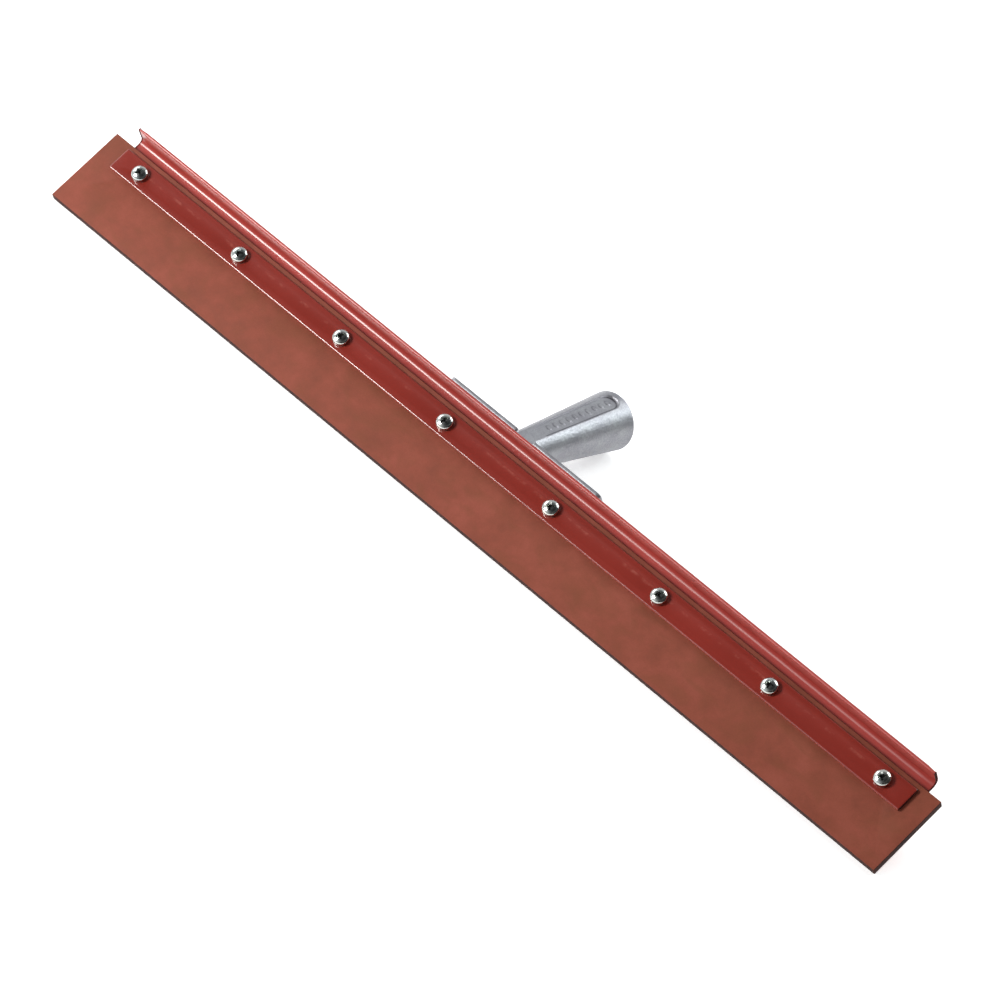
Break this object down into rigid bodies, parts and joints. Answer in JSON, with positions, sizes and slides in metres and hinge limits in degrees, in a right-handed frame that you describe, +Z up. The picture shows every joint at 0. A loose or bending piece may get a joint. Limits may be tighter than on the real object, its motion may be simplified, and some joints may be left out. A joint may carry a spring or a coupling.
{
  "type": "floor squeegee head",
  "caption": "Straight floor squeegee head: a rubber blade screwed between a folded steel frame and a flat strip, with a cast tapered handle socket.",
  "frame": {"origin": "centre of the footprint on the surface that the head rests on, at the bottom of its box", "axes": "+Z up as the head lies at rest, screws upwards, on the blade's lip and the socket's rim; X along the blade; +Y from the lip towards the socket's mouth"},
  "size_m": [0.6096, 0.126, 0.0392],
  "materials": {
    "gum_rubber": "matte, faintly clouded red-brown gum rubber",
    "red_enamel": "glossy dipped red enamel on sheet steel",
    "cast_aluminium": "rough as-cast grey",
    "zinc_plate": "bright zinc plate"
  },
  "bodies": {
    "root": {"rubber_blade": "gum_rubber", "clamp_strip": "red_enamel", "frame": "red_enamel", "handle_socket": "cast_aluminium", "clamp_screw_1": "zinc_plate", "lock_washer_1": "zinc_plate", "nut_1": "zinc_plate", "clamp_screw_2": "zinc_plate", "lock_washer_2": "zinc_plate", "nut_2": "zinc_plate", "clamp_screw_3": "zinc_plate", "lock_washer_3": "zinc_plate", "nut_3": "zinc_plate", "clamp_screw_4": "zinc_plate", "lock_washer_4": "zinc_plate", "nut_4": "zinc_plate", "clamp_screw_5": "zinc_plate", "lock_washer_5": "zinc_plate", "nut_5": "zinc_plate", "clamp_screw_6": "zinc_plate", "lock_washer_6": "zinc_plate", "nut_6": "zinc_plate", "clamp_screw_7": "zinc_plate", "lock_washer_7": "zinc_plate", "nut_7": "zinc_plate", "clamp_screw_8": "zinc_plate", "lock_washer_8": "zinc_plate", "nut_8": "zinc_plate"}
  },
  "joints": []
}
